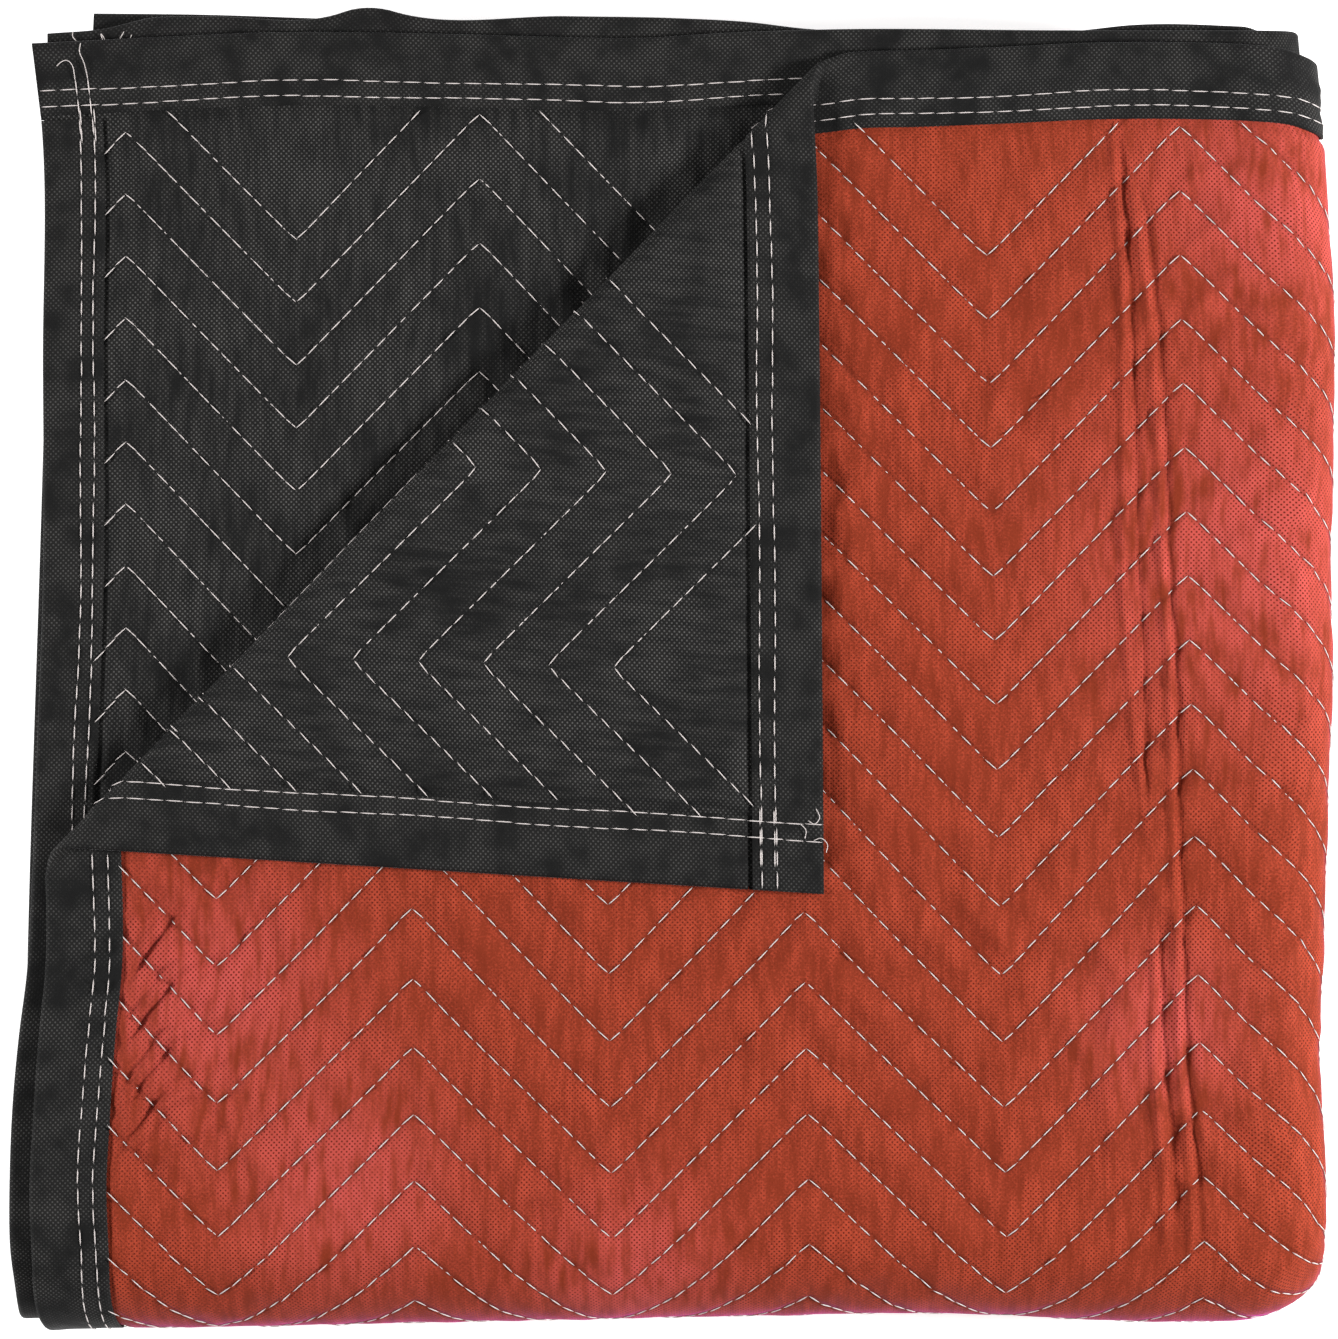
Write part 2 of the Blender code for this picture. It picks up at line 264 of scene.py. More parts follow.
def folded(u, v, depth):
    """Where flat points lie in the folded bundle, in the frame's own place."""
    x, down = turned_under(u, depth, FIRST_FOLD, ONE)
    y, down = turned_under(v, down, SECOND_FOLD, TWO)
    across, along = x, y
    x, down = turned_under(x, down, RIGHT_FOLD, FOUR, RIGHT_BULGE)
    y, down = turned_under(y, down, BOTTOM_FOLD, EIGHT)
    plain_x, plain_y = x, y
    layers = layers_of(u, v)
    for layer, own in layers.items():
        y = y + own * top_slip(layer, across, along)
        x = x + own * left_slip(layer, across, along)
    own = layers["first"] & (u < RIGHT_FOLD) & (v < BOTTOM_FOLD)
    turned = turned_back(x, y, down)
    x, y, down = (np.where(own, new, old) for new, old in zip(turned, (x, y, down)))
    rise = (curve_through(RISE_ACROSS, x) + curve_through(RISE_DOWN, y)) / MM
    x = x + curve_through(RIGHT_SWAY, plain_y) * soft_step(plain_x, RIGHT_FOLD - SWAY_REACH, RIGHT_FOLD)
    y = y + curve_through(BOTTOM_SWAY, plain_x) * soft_step(plain_y, BOTTOM_FOLD - SWAY_REACH, BOTTOM_FOLD)
    return np.stack((x - MIDDLE_X, -y - MIDDLE_Y, (TOTAL - down) * (1 + rise)), axis=-1)


def top_slip(layer, across, along):
    slip = curve_through(TOP_HEMS[layer], across) * (1 - soft_step(across, RIGHT_END, FIRST_FOLD))
    return slip * (1 - soft_step(along, 0, SLIP_REACH))


def left_slip(layer, across, along):
    slip = curve_through(LEFT_HEMS[layer], along) * (1 - soft_step(along, BOTTOM_END, SECOND_FOLD))
    return slip * (1 - soft_step(across, 0, SLIP_REACH))


def pattern_place(u, v):
    """The flat place whose even zigzag is sewn at this flat point."""
    # The top layer, from where its points have slipped and swayed to
    sway = curve_through(RIGHT_SWAY, v) * soft_step(u, RIGHT_FOLD - SWAY_REACH, RIGHT_FOLD)
    x = u + left_slip("first", u, v) + sway * (1 - soft_step(u, RIGHT_END, FIRST_FOLD)) * (v < HEIGHT / 2)
    y = v + top_slip("first", u, v)
    lean = 5 * MM * np.clip((y - 280 * MM) / (200 * MM), -1, 1) * np.clip(x / (450 * MM), 0, 1)
    lean = lean * (1 - soft_step(u, RIGHT_FOLD, RIGHT_END)) * (1 - soft_step(v, BOTTOM_FOLD, BOTTOM_END))
    lower = soft_step(y, 256 * MM, 380 * MM)
    shift = (1 - lower) * -0.015 * (y - 120 * MM) + lower * curve_through(LOWER_ROWS, u)
    shift = shift * (1 - soft_step(v, 500 * MM, 600 * MM)) * (1 - soft_step(u, RIGHT_FOLD, RIGHT_END))
    first = (u < WIDTH / 2) & (v < HEIGHT / 2)
    place_u, place_v = np.where(first, x - lean, u), np.where(first, y - shift, v)
    # The turned back corner
    flap = first & (crease_distance(u, v) > 0)
    drawn = np.interp(u, (0, 149 * MM, 200 * MM, 230 * MM), (14.2 * MM, 2 * MM, 0, 0)) + 0.028 * (110 * MM - v)
    place_u = np.where(flap, u - drawn, place_u)
    place_v = np.where(flap, v - 3 * MM - 0.027 * v - 0.036 * (u - 115 * MM), place_v)
    # The layer that it bares
    across = WIDTH - u
    bared = (u > WIDTH / 2) & (v < HEIGHT / 2) & (across < 300 * MM)
    x, y = across + left_slip("second", across, v), v + top_slip("second", across, v)
    at, top, slope = (np.array(column) for column in zip(*BARED_ROWS))
    shift = np.interp(x, at * MM, top) * MM + np.interp(x, at * MM, slope) * y
    place_u = np.where(bared, WIDTH - x + curve_through(BARED_TIPS, x), place_u)
    return place_u, np.where(bared, y - shift, place_v)


def zigzag(u):
    """From 1 at the zigzag's upper tips to 0 at its lower ones, with slightly rounded tips."""
    wave = np.cos(math.pi * (u - FIRST_PEAK) / HALF_PERIOD)
    return 0.5 + np.arcsin(TIP_SHARPNESS * wave) / (2 * math.asin(TIP_SHARPNESS))


def rows_at(u, v):
    """How many stitch rows down a flat point lies: whole numbers are on a row."""
    place_u, place_v = pattern_place(u, v)
    rows = (place_v - FIRST_ROW + ZIGZAG * zigzag(place_u)) / ROW_PITCH
    return np.clip(rows, FIRST_SEWN - 0.5, LAST_SEWN + 0.5)


def hem_distance(u, v):
    return np.minimum(np.minimum(u, WIDTH - u), np.minimum(v, HEIGHT - v))


def sizes():
    return bpy.context.scene.pad_sizes


def colours():
    return bpy.context.scene.pad_colours


def crown(rows):
    """The quilting's relief: 0 on a stitch row, 1 halfway to the next."""
    share = rows % 1
    return 0.5 * (1 - np.abs(2 * share - 1) ** 2.2) + 0.25 * (1 - np.cos(math.tau * share))


def waves(u, v, seed, length):
    """Soft unevenness between -1 and 1."""
    numbers = np.random.default_rng(seed)
    total = 0
    for _ in range(7):
        turn, phase = numbers.uniform(0, math.tau, 2)
        reach = length * numbers.uniform(0.6, 1.6)
        total = total + np.sin((u * math.cos(turn) + v * math.sin(turn)) * math.tau / reach + phase)
    return total / 4


def crumples(u, v, seed, length, amount):
    """Soft ridges that cross one another, here more and there fewer, between 0 and about 1."""
    numbers = np.random.default_rng(seed)
    total = 0
    for _ in range(amount):
        turn, phase, sway = numbers.uniform(0, math.tau, 3)
        reach = length * numbers.uniform(0.7, 1.8)
        along = u * math.sin(turn) - v * math.cos(turn)
        away = u * math.cos(turn) + v * math.sin(turn) + 0.25 * reach * np.sin(along * math.tau / (3 * reach) + sway)
        patch = np.clip(waves(u, v, seed + 40 + int(sway * 100), 130 * MM), 0, 1)
        total = total + patch * (1 - np.abs(np.sin(away * math.pi / reach + phase))) ** 2
    return total


def puckers(u, rows):
    """Small folds that the stitches draw in across a row, strongest on the row."""
    share = np.abs(rows % 1 - 0.5) * 2
    number = np.round(rows)
    wave = np.sin(u * math.tau / (9 * MM) + number * 2.4) + np.sin(u * math.tau / (13.7 * MM) + number * 5.1)
    return 0.5 * wave * share**3


def gathers(u, v):
    """Slanting folds of the top layer beside the left tape, under the turned back corner, and on the tape."""
    slant = v + 0.9 * u + 4 * MM * np.sin(u * math.tau / (41 * MM))
    wave = np.sin(slant * math.tau / (13 * MM)) + 0.6 * np.sin(slant * math.tau / (8.3 * MM) + 1)
    here = soft_step(v, 318 * MM, 345 * MM) * (1 - soft_step(v, 410 * MM, 450 * MM))
    return here * (1 - soft_step(u, 45 * MM, 105 * MM)) * 0.5 * wave


def quilted_rise(u, v, seed):
    """The relief of quilted cloth: its puffs, the folds along its rows, and its crumples."""
    rows = rows_at(u, v)
    size = sizes()
    relief = size.puff * (crown(rows) - 0.5) + size.pucker * puckers(u, rows)
    relief = relief + size.unevenness * waves(u, v, seed, 60 * MM)
    return relief + size.crumple * np.minimum(crumples(u, v, seed + 1, 24 * MM, 9) - 0.4, 0.8)


def pressed(u, v):
    """How far the underside lies inside the plain sheet, so that its sewing lies within it."""
    under = soft_step(v, BOTTOM_FOLD + 0.7 * BOTTOM_ARC, BOTTOM_END)
    return 0.5 * MM * under * (1 - soft_step(v, SECOND_FOLD, SECOND_FOLD + SECOND_ARC)) * (u < RIGHT_END)


def face_rise(u, v):
    """How far the face cloth stands out of its plain sheet."""
    shown = 1 - 0.85 * soft_step(u, RIGHT_FOLD, RIGHT_FOLD + 0.45 * RIGHT_ARC)
    shown = shown * (1 - soft_step(u, RIGHT_FOLD + 0.5 * RIGHT_ARC, RIGHT_FOLD + 0.9 * RIGHT_ARC))
    shown = shown * (1 - 0.8 * soft_step(v, BOTTOM_FOLD, BOTTOM_FOLD + 0.45 * BOTTOM_ARC))
    shown = shown * (1 - soft_step(v, BOTTOM_FOLD + 0.5 * BOTTOM_ARC, BOTTOM_FOLD + 0.9 * BOTTOM_ARC))
    shown = shown * (crease_distance(u, v) < 0)
    relief = quilted_rise(u, v, 3) + sizes().gathers * gathers(u, v)
    for line, width, height in CREASES:
        places = [row[0] for row in line]
        middle = curve_through(line, v)
        ends = soft_step(v, (places[0] - 15) * MM, (places[0] + 15) * MM)
        ends = ends * (1 - soft_step(v, (places[-1] - 15) * MM, (places[-1] + 15) * MM))
        relief = relief + height * MM * ends * np.exp(-(((u - middle) / (width * MM)) ** 2))
    return relief * shown * soft_step(hem_distance(u, v), 31 * MM, 38 * MM) - pressed(u, v)


def back_tape_share(u, v):
    """The distance to the nearest hem as a share of its tape's reach on the back side."""
    reaches = (
        (u, "binding_left"), (WIDTH - u, "binding_right"), (v, "binding_top"), (HEIGHT - v, "binding_bottom")
    )
    return np.minimum.reduce([distance / BACK_TAPE[name] for distance, name in reaches])


def back_rise(u, v):
    """How far the back cloth stands out where it shows: on the flap and on the layer that it bares."""
    flap = (u < WIDTH / 2) * soft_step(crease_distance(u, v), FLAP_ARC / 2, FLAP_ARC + 8 * MM)
    bared = (u > WIDTH / 2) * soft_step(crease_distance(WIDTH - u, v), -6 * MM, 6 * MM)
    shown = (flap + bared) * (v < HEIGHT / 2)
    return quilted_rise(u, v, 5) * shown * soft_step(back_tape_share(u, v), 1.03, 1.3)


def spread(stretches):
    """Places along a line: each row holds where a stretch starts and ends, and its step, in mm."""
    places = []
    for start, end, step in stretches:
        count = max(1, round((end - start) / step))
        places += [start + (end - start) * i / count for i in range(count)]
    return np.array(places + [stretches[-1][1]]) * MM


def stretches_of(size, rim, fold, arc, last, last_arc, fine, far_fine, inner=None):
    """The stretches of one side of the pad, finer where they show and where they bend; all in mm."""
    fold, arc, last, last_arc = (value / MM for value in (fold, arc, last, last_arc))
    size, rim = size / MM, rim / MM
    bend = max(arc / 24, fine)
    inner = inner or ((36, fold, fine),)
    hidden = 40
    return (
        (rim, 28, 3),
        (28, 36, 1.6),
        *inner,
        (fold, fold + arc, bend),
        (fold + arc, last, hidden),
        (last, last + last_arc, last_arc / 10),
        (last + last_arc, size - fold - arc, hidden),
        (size - fold - arc, size - fold, arc / 16),
        (size - fold, size - 330, 22),
        (size - 330, size - 34, far_fine),
        (size - 34, size - 22, 1.6),
        (size - 22, size - rim, 3),
    )


def mesh_piece(name, points, faces, material, flat=None):
    """Adds a mesh piece to the scene, with its flat places as a UV map."""
    mesh = bpy.data.meshes.new(name)
    mesh.vertices.add(len(points))
    mesh.vertices.foreach_set("co", np.ascontiguousarray(points, np.float32).ravel())
    mesh.loops.add(faces.size)
    mesh.loops.foreach_set("vertex_index", faces.ravel().astype(np.int32))
    mesh.polygons.add(len(faces))
    mesh.polygons.foreach_set("loop_start", np.arange(0, faces.size, faces.shape[1], dtype=np.int32))
    mesh.update(calc_edges=True)
    if flat is not None:
        layer = mesh.uv_layers.new(name="flat")
        layer.uv.foreach_set("vector", flat[faces.ravel()].astype(np.float32).ravel())
    mesh.validate()
    mesh.shade_smooth()
    mesh.materials.append(material)
    piece = bpy.data.objects.new(name, mesh)
    bpy.context.scene.collection.objects.link(piece)
    return piece


def grid_faces(rows, columns, turned):
    corner = np.arange((rows - 1) * columns).reshape(rows - 1, columns)[:, :-1].ravel()
    faces = np.column_stack((corner, corner + 1, corner + columns + 1, corner + columns))
    return faces[:, ::-1] if turned else faces


def sheet_piece(name, across, down, depth_of, faces_up, material):
    """A cloth sheet on the folds: a grid of flat places, at the depth that the function gives each."""
    u, v = (grid.ravel() for grid in np.meshgrid(across, down))
    points = folded(u, v, depth_of(u, v))
    faces = grid_faces(len(down), len(across), faces_up)
    return mesh_piece(name, points, faces, material, np.column_stack((u, v)))


def set_values(piece, name, values):
    layer = piece.data.attributes.new(name, "FLOAT", "POINT")
    layer.data.foreach_set("value", np.ascontiguousarray(values, np.float32))


class Number:
    """A shader value that takes part in sums: each operator adds a Math node."""

    def __init__(self, shade, socket):
        self.shade = shade
        self.socket = socket

    def math(self, operation, *others):
        values = dict(enumerate((self, *others)))
        return Number(self.shade, self.shade.add("ShaderNodeMath", {"operation": operation}, values).outputs[0])

    def reflected(self, operation, other):
        node = self.shade.add("ShaderNodeMath", {"operation": operation}, {0: other, 1: self})
        return Number(self.shade, node.outputs[0])

    def __add__(self, other):
        return self.math("ADD", other)

    def __sub__(self, other):
        return self.math("SUBTRACT", other)

    def __mul__(self, other):
        return self.math("MULTIPLY", other)

    def __truediv__(self, other):
        return self.math("DIVIDE", other)

    def __pow__(self, other):
        return self.math("POWER", other)

    def __radd__(self, other):
        return self.reflected("ADD", other)

    def __rsub__(self, other):
        return self.reflected("SUBTRACT", other)

    def __rmul__(self, other):
        return self.reflected("MULTIPLY", other)

    def __rtruediv__(self, other):
        return self.reflected("DIVIDE", other)

    def __rpow__(self, other):
        return self.reflected("POWER", other)

    def __neg__(self):
        return self.reflected("SUBTRACT", 0.0)

    def __abs__(self):
        return self.math("ABSOLUTE")


class Shade:
    """A material under construction."""

    def __init__(self, name, roughness, sheen, sheen_tint):
        self.material = bpy.data.materials.new(name)
        self.material.use_nodes = True
        self.nodes = self.material.node_tree.nodes
        self.links = self.material.node_tree.links
        self.nodes.clear()
        self.output = self.add("ShaderNodeOutputMaterial")
        self.surface = self.add("ShaderNodeBsdfPrincipled")
        self.surface.inputs["Roughness"].default_value = roughness
        self.surface.inputs["Sheen Weight"].default_value = sheen
        self.surface.inputs["Sheen Roughness"].default_value = 0.25
        self.surface.inputs["Sheen Tint"].default_value = (*sheen_tint, 1)
        self.surface.inputs["Specular IOR Level"].default_value = 0.15
        self.links.new(self.surface.outputs[0], self.output.inputs["Surface"])

    def add(self, kind, settings=None, values=None):
        """A node of this type, with its settings made first and then the values or links of its sockets."""
        node = self.nodes.new(kind)
        for name, value in (settings or {}).items():
            setattr(node, name, value)
        for name, value in (values or {}).items():
            if isinstance(value, Number):
                value = value.socket
            if isinstance(value, bpy.types.NodeSocket):
                self.links.new(value, node.inputs[name])
            else:
                node.inputs[name].default_value = value
        return node

    def number(self, node, output=0):
        return Number(self, node.outputs[output])

    def flat_place(self):
        """The flat u and v of the surface, in metres."""
        uv = self.add("ShaderNodeUVMap", {"uv_map": "flat"})
        parts = self.add("ShaderNodeSeparateXYZ", None, {0: uv.outputs[0]})
        return Number(self, parts.outputs[0]), Number(self, parts.outputs[1])

    def vector(self, x, y, z=0.0):
        return self.add("ShaderNodeCombineXYZ", None, {0: x, 1: y, 2: z}).outputs[0]

    def noise(self, vector, scale, detail=2.0, roughness=0.5):
        values = {"Vector": vector, "Scale": scale, "Detail": detail, "Roughness": roughness}
        return self.number(self.add("ShaderNodeTexNoise", {"noise_dimensions": "3D"}, values))

    def mix(self, factor, first, second):
        """A colour between the two, by the factor."""
        values = {"Factor": factor}
        node = self.add("ShaderNodeMix", {"data_type": "RGBA"}, values)
        for socket, value in ((node.inputs[6], first), (node.inputs[7], second)):
            if isinstance(value, bpy.types.NodeSocket):
                self.links.new(value, socket)
            else:
                socket.default_value = (*value, 1) if len(value) == 3 else value
        return node.outputs[2]

    def smooth(self, value, start, end):
        node = self.add(
            "ShaderNodeMapRange",
            {"interpolation_type": "SMOOTHSTEP"},
            {"Value": value, "From Min": start, "From Max": end},
        )
        return self.number(node)

    def bond_dots(self, u, v, pitch):
        """The bonded points of nonwoven cloth, on a diamond lattice: 1 in a dot, 0 between."""
        turn = math.tau / pitch
        return self.smooth((u * turn).math("COSINE") * (v * turn).math("COSINE"), 0.2, 0.8)

    def finish(self, colour, height):
        """Joins the colour, and the height in millimetres, to the surface."""
        bump = self.add("ShaderNodeBump", None, {"Strength": 1.0, "Distance": MM, "Height": height})
        self.links.new(colour, self.surface.inputs["Base Color"])
        self.links.new(bump.outputs[0], self.surface.inputs["Normal"])
        return self.material


def row_distance(shade, rows):
    """The distance to the nearest stitch row, in mm, from the rows attribute."""
    share = rows.math("FRACT")
    slant = math.hypot(HALF_PERIOD, ZIGZAG) / HALF_PERIOD
    return (0.5 - abs(share - 0.5)) * (ROW_PITCH / MM / slant)


def near(distance, reach):
    """1 at the line, falling to 0 over about the reach."""
    return (-((distance / reach) ** 2)).math("EXPONENT")


def quilted_cloth(name, tones, dot_strength, sheen, sheen_tint):
    """Nonwoven cloth: tones are its dark, light, dot and painted sheen colours."""
    dark, light, dots, painted_sheen = tones
    shade = Shade(name, 0.85, sheen, sheen_tint)
    u, v = shade.flat_place()
    rows = shade.number(shade.add("ShaderNodeAttribute", {"attribute_name": "rows"}), "Fac")
    painted_sheen_share = shade.number(shade.add("ShaderNodeAttribute", {"attribute_name": "painted_sheen"}), "Fac")
    distance = row_distance(shade, rows)
    place = shade.vector(u, v)
    dot = shade.bond_dots(u, v, 2.0 * MM)
    blotches = shade.noise(place, 24.0, 3.0, 0.62)
    streaks = shade.noise(shade.vector(u * 260.0, v * 55.0), 1.0, 1.0, 0.6)
    fibres = shade.noise(place, 1100.0, 1.0, 0.7)
    tone = blotches * 0.28 + streaks * 0.36 + fibres * 0.42
    cloth = shade.mix(shade.smooth(tone, 0.42, 0.66), dark, light)
    # Painted sheen: paler, pinker patches where the side lights' sheen falls on the face cloth
    cloth = shade.mix(painted_sheen_share * shade.smooth(streaks * 0.5 + blotches * 0.5, 0.32, 0.62), cloth, painted_sheen)
    cloth = shade.mix(dot * dot_strength * shade.smooth(blotches + streaks * 0.5, 0.45, 1.0), cloth, dots)
    # Painted shade: the colour darkens into the stitch rows' grooves, where shade falls; the same mask sinks the
    # grooves in the bump below
    row_groove_shade = near(distance, 1.2)
    cloth = shade.mix(row_groove_shade * 0.3, cloth, tuple(value * 0.4 for value in dark))
    height = streaks * 0.4 - row_groove_shade * 0.4 - dot * 0.06 + fibres * 0.06
    return shade.finish(cloth, height)


def tape_cloth(name, dark, light, dots):
    shade = Shade(name, 0.85, 0.1, (0.6, 0.6, 0.62))
    along, across = shade.flat_place()
    place = shade.vector(along, across)
    dot = shade.bond_dots(along, across, 2.0 * MM)
    blotches = shade.noise(place, 60.0, 2.0, 0.6)
    fibres = shade.noise(place, 1300.0, 1.0, 0.7)
    cloth = shade.mix(shade.smooth(blotches * 0.6 + fibres * 0.4, 0.35, 0.7), dark, light)
    cloth = shade.mix(dot * 0.55 * shade.smooth(blotches, 0.3, 0.65), cloth, dots)
    height = blotches * 0.5 - dot * 0.05 + fibres * 0.05
    return shade.finish(cloth, height)


def thread_finish(name, colour):
    shade = Shade(name, 0.55, 0.3, (1, 1, 1))
    place = shade.add("ShaderNodeTexCoord").outputs["Object"]
    tone = shade.noise(place, 900.0, 1.0)
    fade = shade.mix(tone, tuple(value * 0.75 for value in colour), colour)
    return shade.finish(fade, tone * 0.08)


def face_cloth():
    size = sizes()
    step = size.step / MM
    # Finer at the gathers beside the left tape, and at the sharp creases that run down
    inner = ((36, 110, 1.7), (110, 415, step), (415, 455, 1.1), (455, RIGHT_FOLD / MM, step))
    across = spread(stretches_of(WIDTH, SUNK, RIGHT_FOLD, RIGHT_ARC, FIRST_FOLD, FIRST_ARC, step, 22, inner))
    inner = ((36, 318, step), (318, 450, 1.8), (450, BOTTOM_FOLD / MM, step))
    down = spread(stretches_of(HEIGHT, SUNK, BOTTOM_FOLD, BOTTOM_ARC, SECOND_FOLD, SECOND_ARC, step, 22, inner))

    def depth_of(u, v):
        hem = 1 - soft_step(hem_distance(u, v), TAPE_WIDTH + CLEAR, TAPE_WIDTH + 4 * MM)
        return SUNK * hem - face_rise(u, v)

    tints = colours()
    tones = (tints.red_dark, tints.red_light, tints.red_dots, tints.red_painted_sheen)
    material = quilted_cloth("red nonwoven", tones, 1.3, 0.3, (1.0, 0.10, 0.7))
    piece = sheet_piece("face_cloth_sheet", across, down, depth_of, True, material)
    u, v = (grid.ravel() for grid in np.meshgrid(across, down))
    set_values(piece, "rows", rows_at(u, v))
    # The painted sheen's patches, where the side lights make the face cloth look paler
    painted_sheen = sum(np.exp(-((u - x * MM) ** 2 + (v - y * MM) ** 2) / (r * MM) ** 2) for x, y, r in PAINTED_SHEEN)
    set_values(piece, "painted_sheen", np.clip(painted_sheen, 0, 1))
    return piece


def back_cloth():
    size = sizes()
    fine = size.step / MM
    across = spread(stretches_of(WIDTH, SUNK, RIGHT_FOLD, RIGHT_ARC, FIRST_FOLD, FIRST_ARC, 22, fine)[3:])
    near_side = spread(((SUNK / MM, 22, 3), (22, 34, 1.6), (34, 330, fine), (330, RIGHT_FOLD / MM, 22)))
    across = np.concatenate((near_side[:-1], across))
    down = spread(stretches_of(HEIGHT, SUNK, BOTTOM_FOLD, BOTTOM_ARC, SECOND_FOLD, SECOND_ARC, 22, 22)[3:])
    near_side = spread(((SUNK / MM, 22, 3), (22, 34, 1.6), (34, 335, fine), (335, BOTTOM_FOLD / MM, 22)))
    down = np.concatenate((near_side[:-1], down))

    def depth_of(u, v):
        return THICK - SUNK * (1 - soft_step(back_tape_share(u, v), 1.02, 1.15)) + back_rise(u, v)

    tints = colours()
    tones = (tints.black_dark, tints.black_light, tints.black_dots, tints.black_light)
    material = quilted_cloth("black nonwoven", tones, 0.95, 0.12, (0.7, 0.7, 0.7))
    piece = sheet_piece("back_cloth_sheet", across, down, depth_of, False, material)
    u, v = (grid.ravel() for grid in np.meshgrid(across, down))
    set_values(piece, "rows", rows_at(u, v))
    # The back cloth has no painted sheen
    set_values(piece, "painted_sheen", np.zeros(len(u)))
    return piece


def tape_section(back_reach):
    """The tape's closed section as (distance from the edge, depth), round at the edge."""
    radius = THICK / 2
    inner = radius - TAPE
    section = [(across, 0) for across in np.linspace(TAPE_WIDTH, radius, 13)[:-1]]
    for angle in np.linspace(0, math.pi, 9):
        section.append((radius - radius * math.sin(angle), radius - radius * math.cos(angle)))
    section += [(across, THICK) for across in np.linspace(radius, back_reach, 13)[1:]]
    section.append((back_reach, THICK - TAPE))
    for angle in np.linspace(math.pi, 0, 5):
        section.append((radius - inner * math.sin(angle), radius - inner * math.cos(angle)))
    section.append((TAPE_WIDTH, TAPE))
    return np.array(section)


def tape_strip(node, axis, near_edge, material):
    """One strip of tape, folded over an edge and carried round the pad's folds."""
    folds = {
        "u": (WIDTH, 0, RIGHT_FOLD, RIGHT_ARC, FIRST_FOLD, FIRST_ARC),
        "v": (HEIGHT, TAPE_WIDTH + CLEAR, BOTTOM_FOLD, BOTTOM_ARC, SECOND_FOLD, SECOND_ARC),
    }
    size, rim, fold, arc, last, last_arc = (value / MM for value in folds[axis])
    along = spread(
        (
            (rim, fold, 2.2),
            (fold, fold + arc, 3),
            (fold + arc, last, 8),
            (last, last + last_arc, last_arc / 10),
            (last + last_arc, size - fold - arc, 8),
            (size - fold - arc, size - fold, 3),
            (size - fold, size - rim, 3),
        )
    )
    section = tape_section(BACK_TAPE[node])
    far = HEIGHT if axis == "u" else WIDTH
    place = np.repeat(along, len(section))
    across = np.tile(section[:, 0], len(along))
    depth = np.tile(section[:, 1], len(along))
    edge = across if near_edge else far - across
    u, v = (place, edge) if axis == "u" else (edge, place)
    depth = depth + tape_rise(u, v, across, depth)
    points = folded(u, v, depth)
    rings = len(section)
    start = np.arange((len(along) - 1) * rings)
    turned = start - start % rings + (start + 1) % rings
    faces = np.column_stack((start, turned, turned + rings, start + rings))
    faces = np.concatenate((faces, end_faces(section), end_faces(section)[:, ::-1] + (len(along) - 1) * rings))
    if signed_volume(points, faces) < 0:
        faces = faces[:, ::-1]
    return mesh_piece(node + "_tape", points, faces, material, np.column_stack((place, across)))


def tape_wave(u, v, outward):
    """How far the tape stands out: the quilting under it, and its own puckers where it is free to rise."""
    free = (outward < 0) & (u < RIGHT_END) & (v < BOTTOM_FOLD + 0.6 * BOTTOM_ARC)
    own = np.where(free, sizes().tape_pucker, 0.15 * MM)
    gathered = 2.2 * free * np.maximum(gathers(u, v), -0.2) * soft_step(u, 4 * MM, 14 * MM)
    crumpled = crumples(u, v, 30, 15 * MM, 6) - 0.4 + gathered
    return 0.22 * MM * (crown(rows_at(u, v)) - 0.5) + own * (0.5 * waves(u, v, 8, 26 * MM) + crumpled)


def tape_rise(u, v, across, depth):
    """The tape's relief, on its two outer sides, less near its folded edge."""
    outward = np.where(depth < THICK / 2, -1, 1) * ((depth < 1e-6) | (depth > THICK - 1e-6))
    return outward * tape_wave(u, v, outward) * soft_step(across, 2 * MM, 12 * MM) + pressed(u, v)


def end_faces(section):
    """Quads that close the end of a strip, between its outer and inner sides."""
    outer = 33
    rings = len(section)
    inner = np.linspace(rings - 1, outer, outer).round().astype(int)
    quads = []
    for i in range(outer - 1):
        quads.append((i + 1, i, inner[i], inner[i + 1]))
    return np.array(quads)


def signed_volume(points, faces):
    a, b, c, d = (points[faces[:, i]] for i in range(4))
    return float((np.cross(b, c) * a).sum() + (np.cross(c, d) * a).sum())


